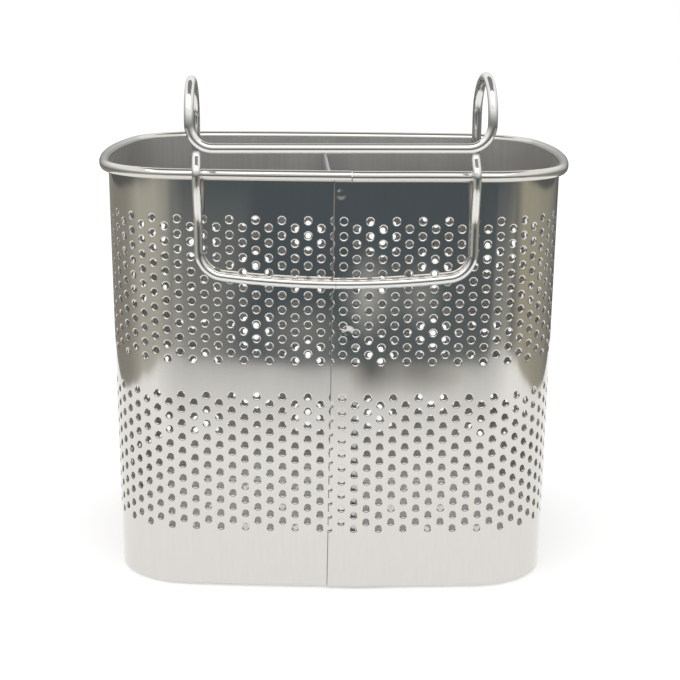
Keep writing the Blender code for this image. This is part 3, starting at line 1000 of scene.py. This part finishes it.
def white_paper():
    """White floor paper with a painted soft shadow behind the basket, and painted dimming far out in the
    steel's reflection of it.
    """
    material = bpy.data.materials.new("white_paper")
    material.use_nodes = True
    tree = material.node_tree
    shader = tree.nodes["Principled BSDF"]
    shader.inputs["Roughness"].default_value = 0.9
    shader.inputs["Specular IOR Level"].default_value = 0.0
    place = tree.nodes.new("ShaderNodeTexCoord").outputs["Object"]
    oval = tree.nodes.new("ShaderNodeMapping")
    oval.inputs["Scale"].default_value = (1 / painted_shadow_half_width, 1 / painted_shadow_half_depth, 0.0)
    oval.inputs["Location"].default_value = (0.0, -painted_shadow_middle_y / painted_shadow_half_depth, 0.0)
    tree.links.new(place, oval.inputs["Vector"])
    apart = tree.nodes.new("ShaderNodeVectorMath")
    apart.operation = "LENGTH"
    tree.links.new(oval.outputs[0], apart.inputs[0])
    # Painted shadow: the paper's colour and glow darken towards the oval's middle.
    painted_shadow = tree.nodes.new("ShaderNodeMapRange")
    painted_shadow.interpolation_type = "SMOOTHSTEP"
    painted_shadow.inputs["To Min"].default_value = painted_shadow_tone
    tree.links.new(apart.outputs["Value"], painted_shadow.inputs["Value"])
    tree.links.new(painted_shadow.outputs[0], shader.inputs["Base Color"])
    glow = tree.nodes.new("ShaderNodeEmission")
    glow.inputs["Strength"].default_value = paper_glow
    tree.links.new(painted_shadow.outputs[0], glow.inputs["Color"])
    # Painted dimming of the floor's glow, seen only in the steel, from near to far in front.
    parts = tree.nodes.new("ShaderNodeSeparateXYZ")
    tree.links.new(place, parts.inputs[0])
    fall = tree.nodes.new("ShaderNodeMapRange")
    fall.inputs["From Min"].default_value = mirrored_far_y
    fall.inputs["From Max"].default_value = mirrored_near_y
    fall.inputs["To Min"].default_value = painted_reflection_far_tone
    tree.links.new(parts.outputs["Y"], fall.inputs["Value"])
    dimmed = tree.nodes.new("ShaderNodeEmission")
    tree.links.new(fall.outputs[0], dimmed.inputs["Strength"])
    seen = ray_share(tree, seen_rays, paper_seen_share)
    mirrored = ray_share(tree, mirrored_rays, paper_mirrored_share)
    surface = blended(tree, shader.outputs[0], glow.outputs[0], seen)
    surface = blended(tree, surface, dimmed.outputs[0], mirrored)
    tree.links.new(surface, tree.nodes["Material Output"].inputs["Surface"])
    return material


def reflection_board_glow():
    """Glowing board in the colour painted on each post of the tent, a painted reflection for the steel."""
    material = bpy.data.materials.new("reflection_board_glow")
    material.use_nodes = True
    tree = material.node_tree
    paint = tree.nodes.new("ShaderNodeAttribute")
    paint.attribute_name = "board_colour"
    glow = tree.nodes.new("ShaderNodeEmission")
    tree.links.new(paint.outputs["Color"], glow.inputs["Color"])
    tree.links.new(glow.outputs[0], tree.nodes["Material Output"].inputs["Surface"])
    return material


def painted(board, colours):
    """Paints a board's corners, and leaves it to be seen only in the steel."""
    paint = board.data.color_attributes.new("board_colour", "FLOAT_COLOR", "POINT")
    for point, colour in zip(paint.data, colours):
        point.color = (*colour, 1.0)
    board.visible_camera = False
    board.visible_diffuse = False
    board.visible_shadow = False


def tent(name, posts, low, high, spread, material):
    """Boards from post to post, leaning out by the spread. A post has a place and two colours."""
    count = len(posts)
    points = [(x, y, low) for x, y, _, _ in posts]
    points += [(x * spread, y * spread, high) for x, y, _, _ in posts]
    faces = [(n, (n + 1) % count, count + (n + 1) % count, count + n) for n in range(count)]
    colours = [low_colour for _, _, low_colour, _ in posts] + [high_colour for _, _, _, high_colour in posts]
    painted(backdrop(name, points, faces, material), colours)


card_sides = 20


def glow_card(name, centre, across, up, middle, rim, material):
    """A small oval card whose colour fades from its middle to its rim, glowing and seen only in the steel as
    a painted reflection.
    """
    turns = [2 * math.pi * side / card_sides for side in range(card_sides)]
    rim_points = [Vector(across) * math.cos(turn) + Vector(up) * math.sin(turn) for turn in turns]
    points = [Vector(centre)] + [Vector(centre) + point for point in rim_points]
    faces = [(0, 1 + side, 1 + (side + 1) % card_sides) for side in range(card_sides)]
    painted(backdrop(name, points, faces, material), [middle] + [rim] * card_sides)


floor_reach = 3000
floor_corners = [
    (-floor_reach, -floor_reach, 0),
    (floor_reach, -floor_reach, 0),
    (floor_reach, floor_reach, 0),
    (-floor_reach, floor_reach, 0),
]
backdrop("floor", floor_corners, [(0, 1, 2, 3)], white_paper())

white = (1.0, 1.0, 1.0)
umber = (0.285, 0.27, 0.24)
pale = (0.49, 0.475, 0.42)
tan = (0.41, 0.39, 0.31)
smoke = (0.17, 0.18, 0.18)
soot = (0.12, 0.13, 0.135)
dim = (0.10, 0.105, 0.11)
slate = (0.088, 0.108, 0.122)
charcoal = (0.10, 0.105, 0.105)
board_foot = 0.5
board_join = 105
board_head = 310
# Painted reflections: the colours each glowing board shows in the steel at its foot and its head.
low_posts = [
    (-183, 301, umber, umber),
    (-275, 112, umber, umber),
    (-323, -6, (0.32, 0.305, 0.27), (0.32, 0.305, 0.27)),
    (-338, -123, pale, pale),
    (-290, -267, pale, pale),
    (-217, -353, (0.36, 0.36, 0.335), (0.36, 0.36, 0.335)),
    (-159, -365, (0.46, 0.455, 0.42), smoke),
    (-106, -365, (0.30, 0.305, 0.29), slate),
    (-66, -365, slate, slate),
    (150, -365, (0.14, 0.155, 0.16), slate),
    (207, -365, (0.32, 0.325, 0.31), slate),
    (299, -308, (0.40, 0.395, 0.35), soot),
    (333, -249, (0.19, 0.19, 0.185), (0.19, 0.19, 0.185)),
    (352, -177, tan, tan),
    (338, -51, tan, tan),
    (290, 85, (0.33, 0.32, 0.27), (0.33, 0.32, 0.27)),
    (193, 301, dim, dim),
]
high_posts = [(x, y, charcoal, white) for x, y, _, _ in low_posts]
paper = reflection_board_glow()
tent("low_boards", low_posts, board_foot, board_join, 1.0, paper)
tent("high_boards", high_posts, board_join, board_head, 1.1, paper)
# Painted reflections: two glowing cards on the slate in front, a lighter patch and a fainter one to its
# left.
glow_card(
    "painted_light_reflection_card",
    centre=(46, -360, 40),
    across=(45, 0, 0),
    up=(0, 0, 26),
    middle=(0.52, 0.53, 0.51),
    rim=slate,
    material=paper,
)
glow_card(
    "painted_side_light_reflection_card",
    centre=(-26, -360, 19),
    across=(43, 0, 0),
    up=(0, 0, 19),
    middle=(0.26, 0.27, 0.27),
    rim=slate,
    material=paper,
)
# Painted reflection: a dark glowing patch on the floor in front, seen only in the steel, that darkens the
# mirrored floor.
glow_card(
    "painted_dark_floor_reflection",
    centre=(55, -356, 0.4),
    across=(50, 0, 0),
    up=(0, 54, 0),
    middle=(0.05, 0.055, 0.055),
    rim=(0.66, 0.65, 0.63),
    material=paper,
)
# Painted reflection: a grey glowing ceiling, seen only in the steel, that darkens the wires' tops.
ceiling_grey = (0.25, 0.25, 0.25)
ceiling_height = 700
ceiling_corners = [
    (-330, -200, ceiling_height),
    (330, -200, ceiling_height),
    (330, 420, ceiling_height),
    (-330, 420, ceiling_height),
]
painted(backdrop("ceiling", ceiling_corners, [(0, 1, 2, 3)], paper), [ceiling_grey] * len(ceiling_corners))

world = bpy.data.worlds.new("studio")
bpy.context.scene.world = world
world.use_nodes = True
sky = world.node_tree.nodes["Background"]
sky.inputs["Color"].default_value = (*white, 1.0)
sky.inputs["Strength"].default_value = 1.0


def soft_box(name, place, aim, width, height, power):
    """A rectangular soft box turned towards what it lights."""
    lamp = bpy.data.lights.new(name, "AREA")
    lamp.shape = "RECTANGLE"
    lamp.size = width * MM
    lamp.size_y = height * MM
    lamp.energy = power
    made = bpy.data.objects.new(name, lamp)
    made.location = Vector(place) * MM
    direction = Vector(aim) * MM - made.location
    made.rotation_euler = direction.to_track_quat("-Z", "Y").to_euler()
    bpy.context.scene.collection.objects.link(made)


soft_box("top_box", place=(-60, -420, 900), aim=(0, 0, 60), width=1300, height=800, power=3.0)


# Camera, in front of the hook side and a little above the rim, so that the inside of the rear wall
# shows over the bead. Its slight lens shift also holds the basket in frame from the other sides.

eye = Vector((3.37, -537.7, 208.6)) * MM
tilt = 0.31114
yaw = -0.00074
roll = -0.00908
focal_px = 1466.9
image_px = 680
centre_y_px = 442.0
level_ahead = Vector((math.sin(yaw), math.cos(yaw), 0))
view_right = Vector((math.cos(yaw), -math.sin(yaw), 0))
view_down = -level_ahead * math.sin(tilt) - Vector((0, 0, math.cos(tilt)))
view_ahead = level_ahead * math.cos(tilt) - Vector((0, 0, math.sin(tilt)))
image_right = view_right * math.cos(roll) + view_down * math.sin(roll)
image_down = view_down * math.cos(roll) - view_right * math.sin(roll)
camera_data = bpy.data.cameras.new("camera")
camera_data.sensor_width = 36.0
camera_data.lens = focal_px / image_px * camera_data.sensor_width
camera_data.shift_y = (centre_y_px - image_px / 2) / image_px
camera_data.clip_start = 0.01
camera = bpy.data.objects.new("camera", camera_data)
bpy.context.scene.collection.objects.link(camera)
turn = camera.matrix_world.to_3x3()
turn.col[0] = image_right
turn.col[1] = -image_down
turn.col[2] = -view_ahead
placed = turn.to_4x4()
placed.translation = eye
camera.matrix_world = placed
bpy.context.scene.camera = camera
bpy.context.scene.view_settings.view_transform = "Standard"
